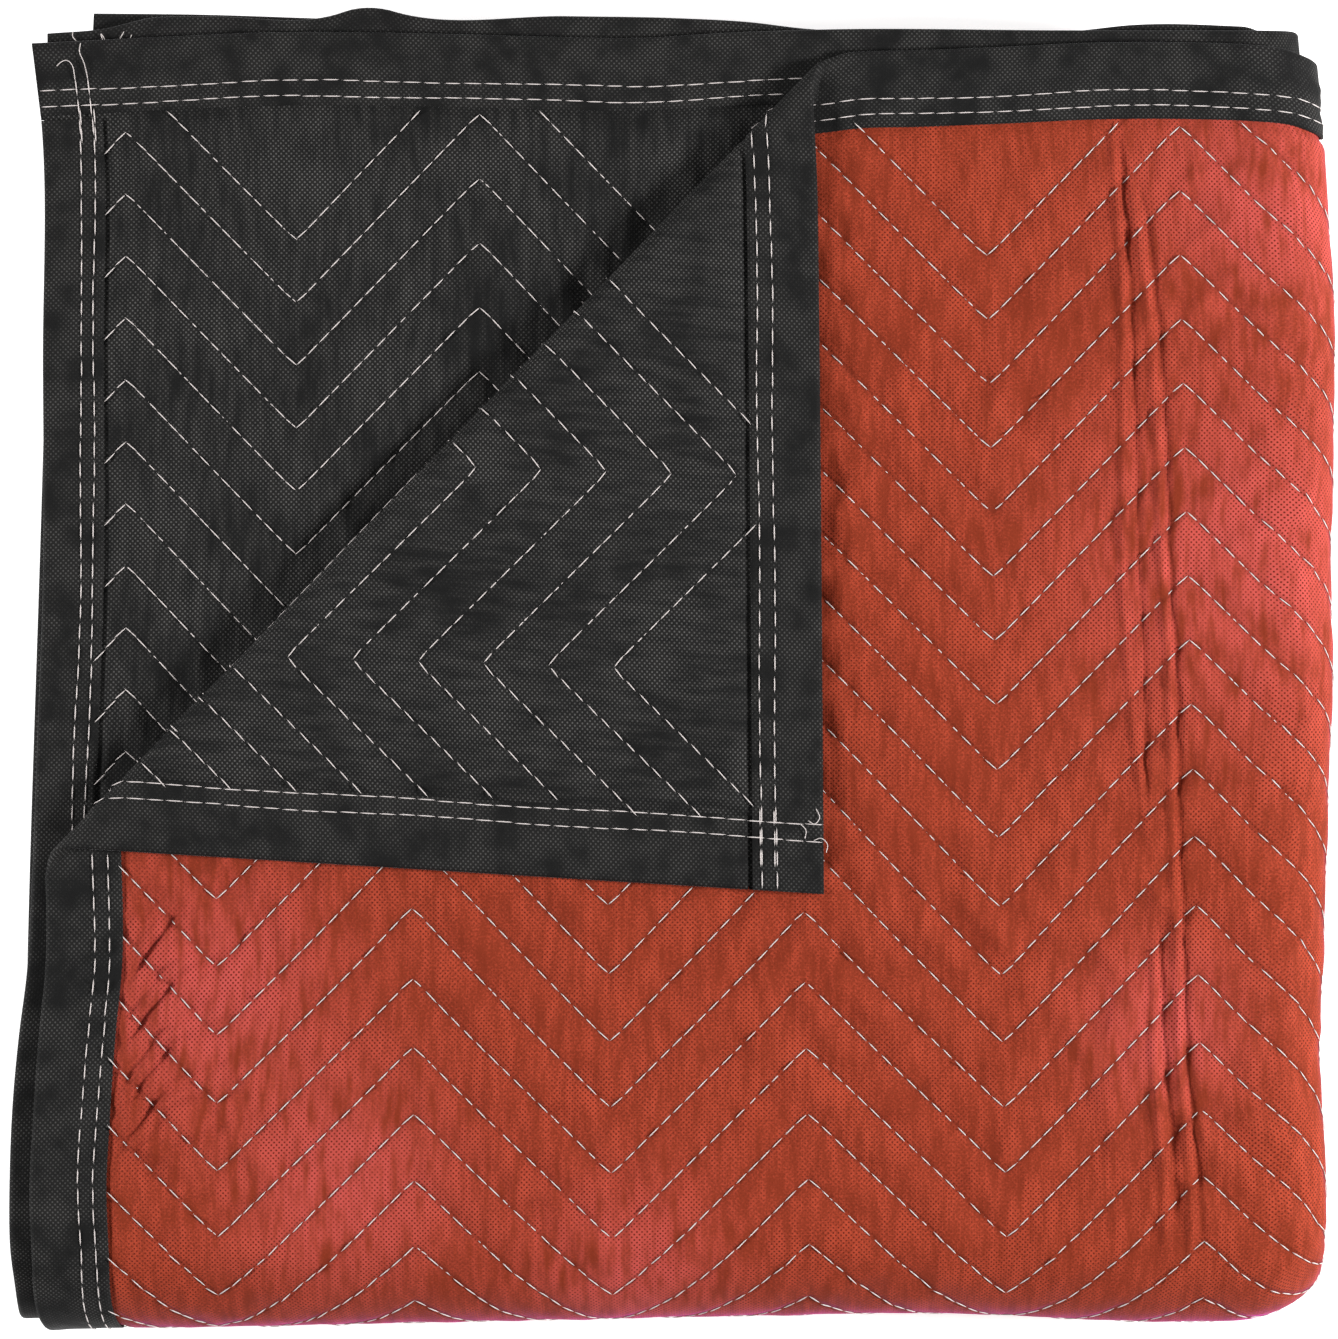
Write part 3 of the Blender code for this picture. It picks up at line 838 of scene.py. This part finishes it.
def thread_tree(material):
    """Stitches on points: each lies along the point's own direction and faces out of the cloth."""
    tree = bpy.data.node_groups.new("stitches", "GeometryNodeTree")
    tree.interface.new_socket("Geometry", in_out="INPUT", socket_type="NodeSocketGeometry")
    tree.interface.new_socket("Geometry", in_out="OUTPUT", socket_type="NodeSocketGeometry")
    for name, default in (("Length", 0.005), ("Width", 0.0008), ("Height", 0.0006), ("Unevenness", 0.1)):
        tree.interface.new_socket(name, in_out="INPUT", socket_type="NodeSocketFloat").default_value = default
    tree.interface.new_socket("Seed", in_out="INPUT", socket_type="NodeSocketInt").default_value = 1
    nodes, links = tree.nodes, tree.links
    start, end = nodes.new("NodeGroupInput"), nodes.new("NodeGroupOutput")
    ball = nodes.new("GeometryNodeMeshUVSphere")
    ball.inputs["Segments"].default_value = 6
    ball.inputs["Rings"].default_value = 4
    ball.inputs["Radius"].default_value = 0.5
    directions = []
    for name in ("along", "facing"):
        read = nodes.new("GeometryNodeInputNamedAttribute")
        read.data_type = "FLOAT_VECTOR"
        read.inputs["Name"].default_value = name
        directions.append(read.outputs["Attribute"])
    turn = nodes.new("FunctionNodeAxesToRotation")
    turn.primary_axis = "X"
    turn.secondary_axis = "Z"
    links.new(directions[0], turn.inputs[0])
    links.new(directions[1], turn.inputs[1])
    chance = nodes.new("FunctionNodeRandomValue")
    chance.data_type = "FLOAT"
    links.new(start.outputs["Seed"], chance.inputs["Seed"])
    chance.inputs[2].default_value = -1
    chance.inputs[3].default_value = 1
    grow = nodes.new("ShaderNodeMath")
    grow.operation = "MULTIPLY_ADD"
    links.new(chance.outputs[1], grow.inputs[0])
    links.new(start.outputs["Unevenness"], grow.inputs[1])
    grow.inputs[2].default_value = 1
    size = nodes.new("ShaderNodeCombineXYZ")
    long = nodes.new("ShaderNodeMath")
    long.operation = "MULTIPLY"
    links.new(grow.outputs[0], long.inputs[0])
    links.new(start.outputs["Length"], long.inputs[1])
    links.new(long.outputs[0], size.inputs[0])
    links.new(start.outputs["Width"], size.inputs[1])
    links.new(start.outputs["Height"], size.inputs[2])
    place = nodes.new("GeometryNodeInstanceOnPoints")
    links.new(start.outputs["Geometry"], place.inputs["Points"])
    links.new(ball.outputs["Mesh"], place.inputs["Instance"])
    links.new(turn.outputs[0], place.inputs["Rotation"])
    links.new(size.outputs[0], place.inputs["Scale"])
    real = nodes.new("GeometryNodeRealizeInstances")
    smooth = nodes.new("GeometryNodeSetShadeSmooth")
    paint = nodes.new("GeometryNodeSetMaterial")
    paint.inputs["Material"].default_value = material
    links.new(place.outputs[0], real.inputs[0])
    links.new(real.outputs[0], smooth.inputs[0])
    links.new(smooth.outputs[0], paint.inputs["Geometry"])
    links.new(paint.outputs[0], end.inputs[0])
    return tree


def stitched(name, middles, along, facing, material, length, width, height, unevenness, seed):
    """Runs the stitch tree on these points and keeps the result as a plain mesh."""
    mesh = bpy.data.meshes.new(name + "_points")
    mesh.vertices.add(len(middles))
    mesh.vertices.foreach_set("co", middles.astype(np.float32).ravel())
    for attribute, values in (("along", along), ("facing", facing)):
        layer = mesh.attributes.new(attribute, "FLOAT_VECTOR", "POINT")
        layer.data.foreach_set("vector", values.astype(np.float32).ravel())
    base = bpy.data.objects.new(name + "_points", mesh)
    bpy.context.scene.collection.objects.link(base)
    tree = thread_tree(material)
    modifier = base.modifiers.new("stitches", "NODES")
    modifier.node_group = tree
    wanted = {"Length": length, "Width": width, "Height": height, "Unevenness": unevenness, "Seed": seed}
    for item in tree.interface.items_tree:
        if item.in_out == "INPUT" and item.name in wanted:
            modifier[item.identifier] = wanted[item.name]
    graph = bpy.context.evaluated_depsgraph_get()
    result = bpy.data.meshes.new_from_object(base.evaluated_get(graph))
    bpy.data.objects.remove(base)
    bpy.data.node_groups.remove(tree)
    result.name = name
    # The stitches under the bundle are pressed into the cloth by its weight
    places = np.empty(len(result.vertices) * 3, np.float32)
    result.vertices.foreach_get("co", places)
    places[2::3] = np.maximum(places[2::3], 0.05 * MM)
    result.vertices.foreach_set("co", places)
    piece = bpy.data.objects.new(name, result)
    bpy.context.scene.collection.objects.link(piece)
    return piece


def directions_at(u, v, du, dv, depth_of):
    """Each point's place, the way that its stitch runs, and the way out of the cloth."""
    step = 1.5 * MM
    here = folded(u, v, depth_of(u, v))
    ahead = folded(u + du * step, v + dv * step, depth_of(u + du * step, v + dv * step))
    behind = folded(u - du * step, v - dv * step, depth_of(u - du * step, v - dv * step))
    side = folded(u - dv * step, v + du * step, depth_of(u, v))
    along = ahead - behind
    facing = np.cross(along, side - here)
    return here, along, facing


def quilting_stitches(shows, depth_of, flip, name, material, seed):
    """Stitches along every zigzag row, where the cloth shows."""
    size = sizes()
    per_slant = round(math.hypot(HALF_PERIOD, ZIGZAG) / size.stitch_pitch)
    count = int(WIDTH / HALF_PERIOD + 3) * per_slant
    place_u = FIRST_PEAK - 3 * HALF_PERIOD + (np.arange(count) + 0.5) * HALF_PERIOD / per_slant
    row = np.arange(FIRST_SEWN, LAST_SEWN + 1)
    place_u, row = (grid.ravel() for grid in np.meshgrid(place_u, row))
    numbers = np.random.default_rng(seed)
    place_u = place_u + numbers.uniform(-0.2, 0.2, len(row)) * MM
    u, v = place_u, FIRST_ROW + row * ROW_PITCH - ZIGZAG * zigzag(place_u)
    # The pattern has crept, so each point is moved until the pattern there is its own
    for _ in range(6):
        at_u, at_v = pattern_place(u, v)
        u, v = u + place_u - at_u, v + FIRST_ROW + row * ROW_PITCH - ZIGZAG * zigzag(place_u) - at_v
    keep = shows(u, v)
    u, v, place_u = u[keep], v[keep], place_u[keep]
    rise = -ZIGZAG * (zigzag(place_u + 0.5 * MM) - zigzag(place_u - 0.5 * MM)) / MM
    long = np.hypot(1, rise)
    here, along, facing = directions_at(u, v, 1 / long, rise / long, depth_of)
    facing = -facing if flip else facing
    facing = facing / np.linalg.norm(facing, axis=1)[:, None]
    return stitched(
        name, here + facing * size.raised, along, facing, material,
        size.stitch_pitch * 0.98, size.thread * 1.2, size.thread, 0.08, seed,
    )


def face_depth(u, v):
    return -face_rise(u, v)


def back_depth(u, v):
    return THICK + back_rise(u, v)


def face_sewn(u, v):
    """The outer red side: over the top, round both folds and back along the underside."""
    outside = (u < RIGHT_END) & (v < SECOND_FOLD)
    turned = (u < RIGHT_FOLD) & (v < BOTTOM_FOLD) & (crease_distance(u, v) > -2 * MM)
    return outside & ~turned & (hem_distance(u, v) > 29 * MM)


def back_sewn(u, v):
    flap = (u < WIDTH / 2) & (crease_distance(u, v) > 0)
    bared = (u > WIDTH / 2) & (crease_distance(WIDTH - u, v) > -3 * MM)
    return (flap | bared) & (v < HEIGHT / 2) & (back_tape_share(u, v) > 0.97)


def tape_stitches(name, material, seed):
    """The double rows that sew the tape down, on each side of it that shows."""
    size = sizes()
    # (axis, near edge, start, end, on the face side, insets), the stretches in mm
    runs = (
        ("u", True, 0, 520, True, TAPE_ROWS),
        ("u", True, 0, 320, False, TAPE_ROWS),
        ("v", True, 0, 1000, True, TAPE_ROWS),
        ("v", True, 0, 325, False, TAPE_ROWS),
        ("u", True, WIDTH / MM - 330, WIDTH / MM, False, TAPE_ROWS),
        ("v", False, 14, 480, False, RIGHT_TAPE_ROWS),
        # The ends of the rows are sewn back over themselves
        ("v", False, 26, 40, False, [inset + 0.7 * MM for inset in RIGHT_TAPE_ROWS]),
        ("u", True, 8, 30, False, [inset + 0.6 * MM for inset in TAPE_ROWS]),
    )
    middles, alongs, facings = [], [], []
    numbers = np.random.default_rng(seed)
    for axis, near_edge, start, end, on_face, insets in runs:
        for inset in insets:
            count = round((end - start) * MM / size.tape_stitch_pitch)
            place = (start + (np.arange(count) + 0.5) * (end - start) / count) * MM
            edge = np.full(count, inset) + 0.35 * MM * np.sin(place * 60 + inset * 900)
            edge = edge + numbers.uniform(-0.12, 0.12, count) * MM
            if not near_edge:
                edge = (HEIGHT if axis == "u" else WIDTH) - edge
            u, v = (place, edge) if axis == "u" else (edge, place)
            du, dv = (1.0, 0.0) if axis == "u" else (0.0, 1.0)
            side = -1 if on_face else 1

            def depth_of(u, v, side=side):
                return (0 if side < 0 else THICK) + side * tape_wave(u, v, side) + pressed(u, v)

            here, along, facing = directions_at(u, v, du, dv, depth_of)
            facing = facing * (-1 if on_face else 1)
            facing = facing / np.linalg.norm(facing, axis=1)[:, None]
            middles.append(here + facing * size.raised)
            alongs.append(along)
            facings.append(facing)
    return stitched(
        name, np.concatenate(middles), np.concatenate(alongs), np.concatenate(facings), material,
        size.tape_stitch_pitch * 0.92, size.thread * 1.2, size.thread, 0.08, seed,
    )


# Loose ends of thread at the corners' rows: (layer's near or far side across, ((u, v), ...) in mm)
LOOSE_ENDS = (
    # On the bared layer's corner, where u counts from the right hem
    (True, False, ((15, 15), (14.8, 10), (13, 7.5), (10.5, 8), (8.5, 9.5))),
    (True, False, ((20, 15), (19.4, 9), (18.2, 4.5), (19, 1))),
    # On the turned back corner
    (False, False, ((26, 6), (25, 3.5), (27.5, 1.5), (30.5, 3))),
    (False, False, ((19, 4), (20, 1), (18, -1.5), (15, -1))),
    (False, False, ((24.5, 9), (22.5, 7), (19.5, 7.5))),
    # On the third layer's corner, sewn from its face side
    (False, True, ((14, 12), (13, 6), (10, 2), (10.5, -1.5))),
    (False, True, ((25, 14), (23, 8), (21, 2), (24, 7), (26, 12))),
    (False, True, ((30, 3), (27, 8), (25.5, 12), (31, 9), (33, 5))),
)


def smooth_line(points, count):
    """A smooth line through the points, as a Catmull-Rom curve."""
    points = np.array([points[0], *points, points[-1]], float)
    places = np.linspace(0, len(points) - 3, count)
    row = np.minimum(places.astype(int), len(points) - 4)
    share = (places - row)[:, None]
    a, b, c, d = (points[row + i] for i in range(4))
    bend = (2 * a - 5 * b + 4 * c - d) * share**2 + (3 * b - 3 * c + d - a) * share**3
    return b + 0.5 * ((c - a) * share + bend)


def tube(line, radius, sides=6):
    """Points and quads of a thin tube along the line, drawn in to a fifth of its radius at both ends."""
    along = np.gradient(line, axis=0)
    along = along / np.linalg.norm(along, axis=1)[:, None]
    side = np.cross(along, (0.31, 0.17, 0.94))
    side = side / np.linalg.norm(side, axis=1)[:, None]
    other = np.cross(along, side)
    thin = np.full(len(line), radius)
    thin[0] = thin[-1] = radius * 0.2
    angle = np.arange(sides) * math.tau / sides
    ring = side[:, None] * np.cos(angle)[None, :, None] + other[:, None] * np.sin(angle)[None, :, None]
    points = (line[:, None] + ring * thin[:, None, None]).reshape(-1, 3)
    start = np.arange((len(line) - 1) * sides)
    turned = start - start % sides + (start + 1) % sides
    return points, np.column_stack((start, turned, turned + sides, start + sides))


def loose_ends(name, material):
    """Short ends of thread that hang out of the rows at the corners."""
    size = sizes()
    points, faces, total = [], [], 0
    for far, below, places in LOOSE_ENDS:
        line = smooth_line(places, 9 * len(places)) * MM
        lift = 0.9 * MM * np.sin(np.linspace(0.3, 3.4, len(line)))
        if below:
            # The third layer shows its face side, and lies under the two above
            u, v = WIDTH - line[:, 0], HEIGHT - line[:, 1]
            there = folded(u, v, np.zeros(len(u)))
        else:
            u = WIDTH - line[:, 0] if far else line[:, 0]
            there = folded(u, line[:, 1], np.full(len(u), THICK))
        there[:, 2] += np.maximum(lift, 0) + size.thread * 0.6
        ring, quads = tube(there, size.thread * 0.4)
        points.append(ring)
        faces.append(quads + total)
        total += len(ring)
    points = np.concatenate(points)
    return mesh_piece(name, points, np.concatenate(faces), material)


class PadSizes(bpy.types.PropertyGroup):
    puff: bpy.props.FloatProperty(
        name="Puff", description="How far the quilting swells from its rows", default=1.5 * MM, unit="LENGTH"
    )
    pucker: bpy.props.FloatProperty(
        name="Pucker", description="Height of the small folds along the rows", default=0.42 * MM, unit="LENGTH"
    )
    crumple: bpy.props.FloatProperty(
        name="Crumple", description="Height of the ridges in the cloth", default=1.8 * MM, unit="LENGTH"
    )
    tape_pucker: bpy.props.FloatProperty(
        name="Tape pucker", description="Height of the folds in the free tape", default=0.6 * MM, unit="LENGTH"
    )
    gathers: bpy.props.FloatProperty(
        name="Gathers", description="Height of the slanting folds beside the left tape", default=1.9 * MM, unit="LENGTH"
    )
    unevenness: bpy.props.FloatProperty(
        name="Unevenness", description="Soft rise and fall of the cloth", default=0.3 * MM, unit="LENGTH"
    )
    loft: bpy.props.FloatProperty(
        name="Loft", description="How far the turned back corner stands off near its crease", default=2.5 * MM, unit="LENGTH"
    )
    step: bpy.props.FloatProperty(
        name="Step", description="The mesh's step where the cloth shows", default=2.8 * MM, unit="LENGTH"
    )
    thread: bpy.props.FloatProperty(
        name="Thread", description="The sewing thread's width", default=0.42 * MM, unit="LENGTH"
    )
    raised: bpy.props.FloatProperty(
        name="Raised", description="How far a stitch's middle lies over the cloth", default=0.3 * MM, unit="LENGTH"
    )
    stitch_pitch: bpy.props.FloatProperty(
        name="Quilting stitch", description="From one quilting stitch to the next", default=6.5 * MM, unit="LENGTH"
    )
    tape_stitch_pitch: bpy.props.FloatProperty(
        name="Tape stitch", description="From one tape stitch to the next", default=7.8 * MM, unit="LENGTH"
    )


def tint(name, description, default):
    return bpy.props.FloatVectorProperty(
        name=name, description=description, default=default, size=3, min=0, max=1, subtype="COLOR"
    )


class PadColours(bpy.types.PropertyGroup):
    red_dark: tint("Dark red", "The face cloth's darker fibres", (0.188, 0.0225, 0.0065))
    red_light: tint("Light red", "The face cloth's lighter fibres", (0.35, 0.046, 0.019))
    red_dots: tint("Red dots", "The face cloth's bonded dots", (0.10, 0.010, 0.004))
    # Painted sheen: the paler red painted where the side lights' sheen falls
    red_painted_sheen: tint("Painted sheen red", "Where the face cloth is paler", (0.46, 0.066, 0.055))
    black_dark: tint("Dark black", "The back cloth's darker fibres", (0.005, 0.005, 0.005))
    black_light: tint("Light black", "The back cloth's lighter fibres", (0.0125, 0.0118, 0.0112))
    black_dots: tint("Black dots", "The back cloth's and tape's bonded dots", (0.095, 0.093, 0.09))
    thread: tint("Thread", "The sewing thread", (0.66, 0.60, 0.58))


def ready(piece, slot, *nodes):
    """What every finished piece needs: its body and the solids that it stands for; its slot is not used."""
    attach(piece, "root")
    if nodes:
        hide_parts(*nodes)
    return piece


class MakeStage(bpy.types.Operator):
    """Pale floor, soft light and a camera straight above"""

    bl_idname = "pad.make_stage"
    bl_label = "Stage"

    def execute(self, context):
        scene = context.scene
        floor = mesh_piece(
            "Floor",
            np.array([(-4, -4, 0), (4, -4, 0), (4, 4, 0), (-4, 4, 0)], float),
            np.array([(0, 1, 2, 3)]),
            floor_finish(),
        )
        world = bpy.data.worlds.new("Soft light")
        world.use_nodes = True
        world.node_tree.nodes["Background"].inputs["Color"].default_value = (1, 1, 1, 1)
        world.node_tree.nodes["Background"].inputs["Strength"].default_value = 0.29
        scene.world = world
        # (name, place, size, power): the key light comes from the right of the picture
        for name, place, size, power in (
            ("Key", (2.2, -0.1, 1.3), 0.5, 100),
            ("Left", (-2.2, 0.1, 1.0), 0.6, 58),
            ("Back", (0.4, 2.0, 1.8), 1.6, 8),
        ):
            lamp = bpy.data.lights.new(name, "AREA")
            lamp.size = size
            lamp.energy = power
            light = bpy.data.objects.new(name, lamp)
            light.location = place
            scene.collection.objects.link(light)
            aim_at_middle(light)
        lens = bpy.data.cameras.new("Camera")
        camera = bpy.data.objects.new("Camera", lens)
        # The photograph is 1338 pixels across, at 0.39 mm to the pixel on the pad's top
        distance, pixel, pixels_across, pixels_down = 6.0, 0.39 * MM, 1338, 1339
        first_x, first_y = 41, 50
        lens.sensor_width = 36
        lens.sensor_fit = "HORIZONTAL"
        lens.lens = 36 * distance / (pixels_across * pixel)
        lens.clip_end = 20
        camera.location = (
            (pixels_across / 2 - first_x) * pixel - MIDDLE_X,
            -(pixels_down / 2 - first_y) * pixel - MIDDLE_Y,
            TOTAL + distance,
        )
        scene.collection.objects.link(camera)
        scene.camera = camera
        scene.view_settings.view_transform = "Standard"
        return {"FINISHED"}


def aim_at_middle(light):
    from mathutils import Vector

    light.rotation_euler = Vector(light.location).to_track_quat("Z", "Y").to_euler()


def floor_finish():
    shade = Shade("pale floor", 0.9, 0.0, (1, 1, 1))
    place = shade.add("ShaderNodeTexCoord").outputs["Object"]
    tone = shade.noise(place, 3.0)
    shade.surface.inputs["Emission Color"].default_value = (1, 1, 1, 1)
    shade.surface.inputs["Emission Strength"].default_value = 0.65
    return shade.finish(shade.mix(tone, (0.86, 0.86, 0.86), (0.90, 0.90, 0.90)), tone * 0.02)


class MakeFaceCloth(bpy.types.Operator):
    """The red cloth on the pad's face side, quilted and folded"""

    bl_idname = "pad.make_face_cloth"
    bl_label = "Face cloth"

    def execute(self, context):
        ready(face_cloth(), "face_cloth", "face_cloth")
        return {"FINISHED"}


class MakeBackCloth(bpy.types.Operator):
    """The black cloth on the pad's back side"""

    bl_idname = "pad.make_back_cloth"
    bl_label = "Back cloth"

    def execute(self, context):
        ready(back_cloth(), "back_cloth", "back_cloth")
        return {"FINISHED"}


class MakeTape(bpy.types.Operator):
    """The four strips of tape folded over the hems"""

    bl_idname = "pad.make_tape"
    bl_label = "Binding tape"

    def execute(self, context):
        tints = colours()
        material = tape_cloth("black tape", tints.black_dark, tints.black_light, tints.black_dots)
        for node, axis, near_edge in (
            ("binding_top", "u", True),
            ("binding_bottom", "u", False),
            ("binding_left", "v", True),
            ("binding_right", "v", False),
        ):
            ready(tape_strip(node, axis, near_edge, material), "binding", node)
        return {"FINISHED"}


class MakeThread(bpy.types.Operator):
    """The zigzag quilting and the tape's double rows"""

    bl_idname = "pad.make_thread"
    bl_label = "Sewing"

    def execute(self, context):
        material = thread_finish("white thread", colours().thread)
        ready(quilting_stitches(face_sewn, face_depth, True, "face_stitches", material, 11), "binding")
        ready(quilting_stitches(back_sewn, back_depth, False, "back_stitches", material, 12), "binding")
        ready(tape_stitches("tape_stitches", material, 13), "binding")
        return {"FINISHED"}


class MakeLooseEnds(bpy.types.Operator):
    """Short ends of thread at the corners"""

    bl_idname = "pad.make_loose_ends"
    bl_label = "Loose ends"

    def execute(self, context):
        material = bpy.data.materials.get("white thread") or thread_finish("white thread", colours().thread)
        ready(loose_ends("loose_thread_ends", material), "binding")
        return {"FINISHED"}


class PadPanel(bpy.types.Panel):
    """Makes the pad's pieces"""

    bl_label = "Moving pad"
    bl_idname = "VIEW3D_PT_moving_pad"
    bl_space_type = "VIEW_3D"
    bl_region_type = "UI"
    bl_category = "Pad"

    def draw(self, context):
        for group in (context.scene.pad_sizes, context.scene.pad_colours):
            for name in group.__annotations__:
                self.layout.prop(group, name)
        for maker in MAKERS:
            self.layout.operator(maker.bl_idname)


MAKERS = (MakeStage, MakeFaceCloth, MakeBackCloth, MakeTape, MakeThread, MakeLooseEnds)
CLASSES = (PadSizes, PadColours, *MAKERS, PadPanel)


def register():
    for kind in CLASSES:
        bpy.utils.register_class(kind)
    bpy.types.Scene.pad_sizes = bpy.props.PointerProperty(type=PadSizes)
    bpy.types.Scene.pad_colours = bpy.props.PointerProperty(type=PadColours)


def unregister():
    del bpy.types.Scene.pad_colours
    del bpy.types.Scene.pad_sizes
    for kind in reversed(CLASSES):
        bpy.utils.unregister_class(kind)


def main():
    register()
    bpy.ops.pad.make_stage()
    bpy.ops.pad.make_face_cloth()
    bpy.ops.pad.make_back_cloth()
    bpy.ops.pad.make_tape()
    bpy.ops.pad.make_thread()
    bpy.ops.pad.make_loose_ends()


if __name__ == "__main__":
    main()
